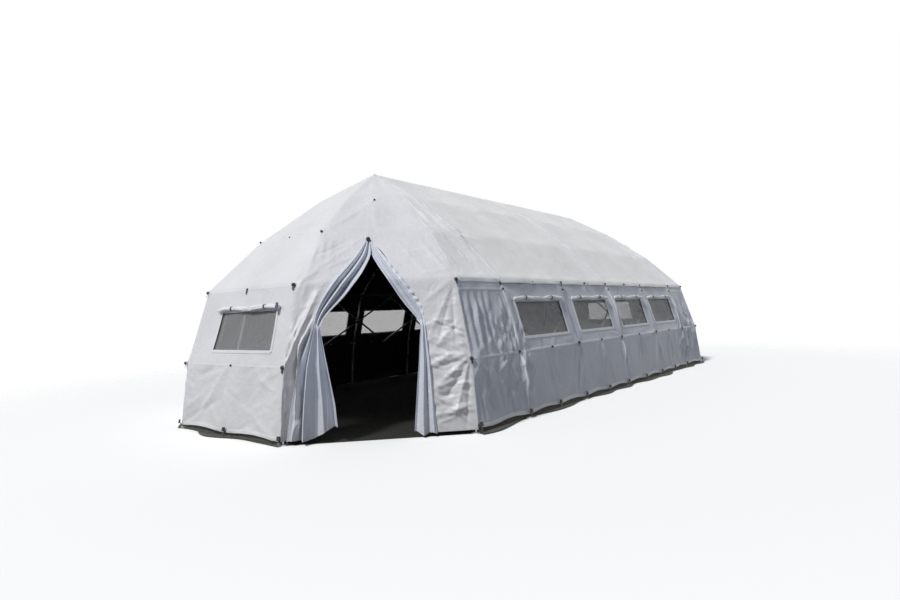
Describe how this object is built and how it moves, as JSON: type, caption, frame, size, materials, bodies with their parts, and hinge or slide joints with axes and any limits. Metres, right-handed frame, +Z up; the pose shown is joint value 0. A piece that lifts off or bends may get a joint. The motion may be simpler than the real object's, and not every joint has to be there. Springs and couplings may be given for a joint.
{
  "type": "folding frame shelter",
  "caption": "Long octagonal shelter on hinged aluminium arches with side scissors, a tied back doorway, mesh windows and coated fabric covers; it folds along its ridge.",
  "frame": {"origin": "on the floor under the middle of the ridge", "axes": "+Z up, Y along the ridge with the doorway end towards -Y, +X the side wall beside the doorway"},
  "size_m": [5.459, 11.8592, 3.4761],
  "materials": {
    "frame_tube": "mill finish tube, dull",
    "end_rib_tube": "mill finish tube, dull",
    "scissor_bar": "flat bar, dull",
    "roof_fabric": "coated cloth, warm light grey, soft sheen",
    "side_fabric": "coated cloth, cool light grey, soft sheen",
    "end_fabric": "coated cloth, cool light grey, soft sheen",
    "flap_fabric": "rolled coated cloth",
    "curtain_fabric": "hanging coated cloth",
    "skirt_fabric": "dark coated cloth, matt"
  },
  "bodies": {
    "middle_frame": {"arch_3": "frame_tube", "roof_cover": "roof_fabric", "left_wall_cover": "side_fabric", "right_wall_cover": "side_fabric", "ground_skirt": "skirt_fabric", "left_window_flap_1": "flap_fabric", "left_window_flap_2": "flap_fabric", "left_window_flap_3": "flap_fabric", "left_window_flap_4": "flap_fabric", "right_window_flap_1": "flap_fabric", "right_window_flap_2": "flap_fabric", "right_window_flap_3": "flap_fabric", "right_window_flap_4": "flap_fabric"},
    "front_frame": {"arch_1": "frame_tube", "front_end_cover": "end_fabric", "front_window_flap": "flap_fabric", "door_curtain_left": "curtain_fabric", "door_curtain_right": "curtain_fabric"},
    "second_frame": {"arch_2": "frame_tube"},
    "fourth_frame": {"arch_4": "frame_tube"},
    "rear_frame": {"arch_5": "frame_tube", "rear_end_cover": "end_fabric", "rear_window_flap": "flap_fabric"},
    "right_rising_bar_1": {"right_rising_bar_1": "scissor_bar"},
    "right_falling_bar_1": {"right_falling_bar_1": "scissor_bar"},
    "left_rising_bar_1": {"left_rising_bar_1": "scissor_bar"},
    "left_falling_bar_1": {"left_falling_bar_1": "scissor_bar"},
    "right_rising_bar_2": {"right_rising_bar_2": "scissor_bar"},
    "right_falling_bar_2": {"right_falling_bar_2": "scissor_bar"},
    "left_rising_bar_2": {"left_rising_bar_2": "scissor_bar"},
    "left_falling_bar_2": {"left_falling_bar_2": "scissor_bar"},
    "right_rising_bar_3": {"right_rising_bar_3": "scissor_bar"},
    "right_falling_bar_3": {"right_falling_bar_3": "scissor_bar"},
    "left_rising_bar_3": {"left_rising_bar_3": "scissor_bar"},
    "left_falling_bar_3": {"left_falling_bar_3": "scissor_bar"},
    "right_rising_bar_4": {"right_rising_bar_4": "scissor_bar"},
    "right_falling_bar_4": {"right_falling_bar_4": "scissor_bar"},
    "left_rising_bar_4": {"left_rising_bar_4": "scissor_bar"},
    "left_falling_bar_4": {"left_falling_bar_4": "scissor_bar"},
    "right_rising_bar_5": {"right_rising_bar_5": "scissor_bar"},
    "right_falling_bar_5": {"right_falling_bar_5": "scissor_bar"},
    "left_rising_bar_5": {"left_rising_bar_5": "scissor_bar"},
    "left_falling_bar_5": {"left_falling_bar_5": "scissor_bar"},
    "front_end_rib_1": {"front_end_rib_1": "end_rib_tube"},
    "front_end_rib_2": {"front_end_rib_2": "end_rib_tube"},
    "front_end_rib_3": {"front_end_rib_3": "end_rib_tube"},
    "front_end_rib_4": {"front_end_rib_4": "end_rib_tube"},
    "front_end_rib_5": {"front_end_rib_5": "end_rib_tube"},
    "front_end_rib_6": {"front_end_rib_6": "end_rib_tube"},
    "front_end_rib_7": {"front_end_rib_7": "end_rib_tube"},
    "rear_end_rib_1": {"rear_end_rib_1": "end_rib_tube"},
    "rear_end_rib_2": {"rear_end_rib_2": "end_rib_tube"},
    "rear_end_rib_3": {"rear_end_rib_3": "end_rib_tube"},
    "rear_end_rib_4": {"rear_end_rib_4": "end_rib_tube"},
    "rear_end_rib_5": {"rear_end_rib_5": "end_rib_tube"},
    "rear_end_rib_6": {"rear_end_rib_6": "end_rib_tube"},
    "rear_end_rib_7": {"rear_end_rib_7": "end_rib_tube"}
  },
  "joints": [
    {"name": "fold", "type": "slide", "parent": "middle_frame", "child": "rear_frame", "axis": [0, -1, 0], "range_m": [0, 2.56], "deforming": ["roof_cover", "left_wall_cover", "right_wall_cover", "ground_skirt", "left_window_flap_1", "left_window_flap_2", "left_window_flap_3", "left_window_flap_4", "right_window_flap_1", "right_window_flap_2", "right_window_flap_3", "right_window_flap_4", "front_end_cover", "front_window_flap", "door_curtain_left", "door_curtain_right", "rear_end_cover", "rear_window_flap"]},
    {"name": "front_frame_slide", "type": "slide", "parent": "middle_frame", "child": "front_frame", "axis": [0, 1, 0], "range_m": [0, 2.56]},
    {"name": "second_frame_slide", "type": "slide", "parent": "middle_frame", "child": "second_frame", "axis": [0, 1, 0], "range_m": [0, 1.28]},
    {"name": "fourth_frame_slide", "type": "slide", "parent": "middle_frame", "child": "fourth_frame", "axis": [0, -1, 0], "range_m": [0, 1.28]},
    {"name": "right_rising_pivot_1", "type": "hinge", "parent": "front_frame", "child": "right_rising_bar_1", "pos_m": [2.28, -3.2, 1.255], "axis": [0.9615, 0, 0.2747], "range_deg": [0, 49.53]},
    {"name": "right_falling_pivot_1", "type": "hinge", "parent": "front_frame", "child": "right_falling_bar_1", "pos_m": [2.28, -3.2, 1.255], "axis": [0.9615, 0, 0.2747], "range_deg": [-49.53, 0]},
    {"name": "left_rising_pivot_1", "type": "hinge", "parent": "front_frame", "child": "left_rising_bar_1", "pos_m": [-2.28, -3.2, 1.255], "axis": [0.9615, 0, -0.2747], "range_deg": [0, 49.53]},
    {"name": "left_falling_pivot_1", "type": "hinge", "parent": "front_frame", "child": "left_falling_bar_1", "pos_m": [-2.28, -3.2, 1.255], "axis": [0.9615, 0, -0.2747], "range_deg": [-49.53, 0]},
    {"name": "right_rising_pivot_2", "type": "hinge", "parent": "second_frame", "child": "right_rising_bar_2", "pos_m": [2.28, -1.6, 1.255], "axis": [0.9615, 0, 0.2747], "range_deg": [0, 49.53]},
    {"name": "right_falling_pivot_2", "type": "hinge", "parent": "second_frame", "child": "right_falling_bar_2", "pos_m": [2.28, -1.6, 1.255], "axis": [0.9615, 0, 0.2747], "range_deg": [-49.53, 0]},
    {"name": "left_rising_pivot_2", "type": "hinge", "parent": "second_frame", "child": "left_rising_bar_2", "pos_m": [-2.28, -1.6, 1.255], "axis": [0.9615, 0, -0.2747], "range_deg": [0, 49.53]},
    {"name": "left_falling_pivot_2", "type": "hinge", "parent": "second_frame", "child": "left_falling_bar_2", "pos_m": [-2.28, -1.6, 1.255], "axis": [0.9615, 0, -0.2747], "range_deg": [-49.53, 0]},
    {"name": "right_rising_pivot_3", "type": "hinge", "parent": "middle_frame", "child": "right_rising_bar_3", "pos_m": [2.28, 0, 1.255], "axis": [0.9615, 0, 0.2747], "range_deg": [0, 49.53]},
    {"name": "right_falling_pivot_3", "type": "hinge", "parent": "middle_frame", "child": "right_falling_bar_3", "pos_m": [2.28, 0, 1.255], "axis": [0.9615, 0, 0.2747], "range_deg": [-49.53, 0]},
    {"name": "left_rising_pivot_3", "type": "hinge", "parent": "middle_frame", "child": "left_rising_bar_3", "pos_m": [-2.28, 0, 1.255], "axis": [0.9615, 0, -0.2747], "range_deg": [0, 49.53]},
    {"name": "left_falling_pivot_3", "type": "hinge", "parent": "middle_frame", "child": "left_falling_bar_3", "pos_m": [-2.28, 0, 1.255], "axis": [0.9615, 0, -0.2747], "range_deg": [-49.53, 0]},
    {"name": "right_rising_pivot_4", "type": "hinge", "parent": "fourth_frame", "child": "right_rising_bar_4", "pos_m": [2.28, 1.6, 1.255], "axis": [0.9615, 0, 0.2747], "range_deg": [0, 49.53]},
    {"name": "right_falling_pivot_4", "type": "hinge", "parent": "fourth_frame", "child": "right_falling_bar_4", "pos_m": [2.28, 1.6, 1.255], "axis": [0.9615, 0, 0.2747], "range_deg": [-49.53, 0]},
    {"name": "left_rising_pivot_4", "type": "hinge", "parent": "fourth_frame", "child": "left_rising_bar_4", "pos_m": [-2.28, 1.6, 1.255], "axis": [0.9615, 0, -0.2747], "range_deg": [0, 49.53]},
    {"name": "left_falling_pivot_4", "type": "hinge", "parent": "fourth_frame", "child": "left_falling_bar_4", "pos_m": [-2.28, 1.6, 1.255], "axis": [0.9615, 0, -0.2747], "range_deg": [-49.53, 0]},
    {"name": "right_rising_pivot_5", "type": "hinge", "parent": "rear_frame", "child": "right_rising_bar_5", "pos_m": [2.28, 3.2, 1.255], "axis": [0.9615, 0, 0.2747], "range_deg": [0, 49.53]},
    {"name": "right_falling_pivot_5", "type": "hinge", "parent": "rear_frame", "child": "right_falling_bar_5", "pos_m": [2.28, 3.2, 1.255], "axis": [0.9615, 0, 0.2747], "range_deg": [-49.53, 0]},
    {"name": "left_rising_pivot_5", "type": "hinge", "parent": "rear_frame", "child": "left_rising_bar_5", "pos_m": [-2.28, 3.2, 1.255], "axis": [0.9615, 0, -0.2747], "range_deg": [0, 49.53]},
    {"name": "left_falling_pivot_5", "type": "hinge", "parent": "rear_frame", "child": "left_falling_bar_5", "pos_m": [-2.28, 3.2, 1.255], "axis": [0.9615, 0, -0.2747], "range_deg": [-49.53, 0]},
    {"name": "front_end_rib_pivot_1", "type": "hinge", "parent": "front_frame", "child": "front_end_rib_1", "pos_m": [0, -3.2, 3], "axis": [0, 0, 1], "range_deg": [0, 8.55]},
    {"name": "front_end_rib_pivot_2", "type": "hinge", "parent": "front_frame", "child": "front_end_rib_2", "pos_m": [0, -3.2, 3], "axis": [0, 0, 1], "range_deg": [0, 25.05]},
    {"name": "front_end_rib_pivot_3", "type": "hinge", "parent": "front_frame", "child": "front_end_rib_3", "pos_m": [0, -3.2, 3], "axis": [0, 0, 1], "range_deg": [0, 39.55]},
    {"name": "front_end_rib_pivot_4", "type": "hinge", "parent": "front_frame", "child": "front_end_rib_4", "pos_m": [0, -3.2, 3], "axis": [0, 0, 1], "range_deg": [0, 56.05]},
    {"name": "front_end_rib_pivot_5", "type": "hinge", "parent": "front_frame", "child": "front_end_rib_5", "pos_m": [0, -3.2, 3], "axis": [0, 0, 1], "range_deg": [-39.55, 0]},
    {"name": "front_end_rib_pivot_6", "type": "hinge", "parent": "front_frame", "child": "front_end_rib_6", "pos_m": [0, -3.2, 3], "axis": [0, 0, 1], "range_deg": [-25.05, 0]},
    {"name": "front_end_rib_pivot_7", "type": "hinge", "parent": "front_frame", "child": "front_end_rib_7", "pos_m": [0, -3.2, 3], "axis": [0, 0, 1], "range_deg": [-8.55, 0]},
    {"name": "rear_end_rib_pivot_1", "type": "hinge", "parent": "rear_frame", "child": "rear_end_rib_1", "pos_m": [0, 3.2, 3], "axis": [0, 0, 1], "range_deg": [-8.55, 0]},
    {"name": "rear_end_rib_pivot_2", "type": "hinge", "parent": "rear_frame", "child": "rear_end_rib_2", "pos_m": [0, 3.2, 3], "axis": [0, 0, 1], "range_deg": [-25.05, 0]},
    {"name": "rear_end_rib_pivot_3", "type": "hinge", "parent": "rear_frame", "child": "rear_end_rib_3", "pos_m": [0, 3.2, 3], "axis": [0, 0, 1], "range_deg": [-39.55, 0]},
    {"name": "rear_end_rib_pivot_4", "type": "hinge", "parent": "rear_frame", "child": "rear_end_rib_4", "pos_m": [0, 3.2, 3], "axis": [0, 0, 1], "range_deg": [-56.05, 0]},
    {"name": "rear_end_rib_pivot_5", "type": "hinge", "parent": "rear_frame", "child": "rear_end_rib_5", "pos_m": [0, 3.2, 3], "axis": [0, 0, 1], "range_deg": [0, 39.55]},
    {"name": "rear_end_rib_pivot_6", "type": "hinge", "parent": "rear_frame", "child": "rear_end_rib_6", "pos_m": [0, 3.2, 3], "axis": [0, 0, 1], "range_deg": [0, 25.05]},
    {"name": "rear_end_rib_pivot_7", "type": "hinge", "parent": "rear_frame", "child": "rear_end_rib_7", "pos_m": [0, 3.2, 3], "axis": [0, 0, 1], "range_deg": [0, 8.55]}
  ],
  "couplings": [
    {"joint": "front_frame_slide", "follows": "fold", "ratio": 1},
    {"joint": "second_frame_slide", "follows": "fold", "ratio": 0.5},
    {"joint": "fourth_frame_slide", "follows": "fold", "ratio": 0.5},
    {"joint": "right_rising_pivot_1", "follows": "fold", "rad_per_m": 0.33736},
    {"joint": "right_falling_pivot_1", "follows": "fold", "rad_per_m": -0.33736},
    {"joint": "left_rising_pivot_1", "follows": "fold", "rad_per_m": 0.33736},
    {"joint": "left_falling_pivot_1", "follows": "fold", "rad_per_m": -0.33736},
    {"joint": "right_rising_pivot_2", "follows": "fold", "rad_per_m": 0.33736},
    {"joint": "right_falling_pivot_2", "follows": "fold", "rad_per_m": -0.33736},
    {"joint": "left_rising_pivot_2", "follows": "fold", "rad_per_m": 0.33736},
    {"joint": "left_falling_pivot_2", "follows": "fold", "rad_per_m": -0.33736},
    {"joint": "right_rising_pivot_3", "follows": "fold", "rad_per_m": 0.33736},
    {"joint": "right_falling_pivot_3", "follows": "fold", "rad_per_m": -0.33736},
    {"joint": "left_rising_pivot_3", "follows": "fold", "rad_per_m": 0.33736},
    {"joint": "left_falling_pivot_3", "follows": "fold", "rad_per_m": -0.33736},
    {"joint": "right_rising_pivot_4", "follows": "fold", "rad_per_m": 0.33736},
    {"joint": "right_falling_pivot_4", "follows": "fold", "rad_per_m": -0.33736},
    {"joint": "left_rising_pivot_4", "follows": "fold", "rad_per_m": 0.33736},
    {"joint": "left_falling_pivot_4", "follows": "fold", "rad_per_m": -0.33736},
    {"joint": "right_rising_pivot_5", "follows": "fold", "rad_per_m": 0.33736},
    {"joint": "right_falling_pivot_5", "follows": "fold", "rad_per_m": -0.33736},
    {"joint": "left_rising_pivot_5", "follows": "fold", "rad_per_m": 0.33736},
    {"joint": "left_falling_pivot_5", "follows": "fold", "rad_per_m": -0.33736},
    {"joint": "front_end_rib_pivot_1", "follows": "fold", "rad_per_m": 0.05795},
    {"joint": "front_end_rib_pivot_2", "follows": "fold", "rad_per_m": 0.17044},
    {"joint": "front_end_rib_pivot_3", "follows": "fold", "rad_per_m": 0.2693},
    {"joint": "front_end_rib_pivot_4", "follows": "fold", "rad_per_m": 0.38179},
    {"joint": "front_end_rib_pivot_5", "follows": "fold", "rad_per_m": -0.2693},
    {"joint": "front_end_rib_pivot_6", "follows": "fold", "rad_per_m": -0.17044},
    {"joint": "front_end_rib_pivot_7", "follows": "fold", "rad_per_m": -0.05795},
    {"joint": "rear_end_rib_pivot_1", "follows": "fold", "rad_per_m": -0.05795},
    {"joint": "rear_end_rib_pivot_2", "follows": "fold", "rad_per_m": -0.17044},
    {"joint": "rear_end_rib_pivot_3", "follows": "fold", "rad_per_m": -0.2693},
    {"joint": "rear_end_rib_pivot_4", "follows": "fold", "rad_per_m": -0.38179},
    {"joint": "rear_end_rib_pivot_5", "follows": "fold", "rad_per_m": 0.2693},
    {"joint": "rear_end_rib_pivot_6", "follows": "fold", "rad_per_m": 0.17044},
    {"joint": "rear_end_rib_pivot_7", "follows": "fold", "rad_per_m": 0.05795}
  ]
}
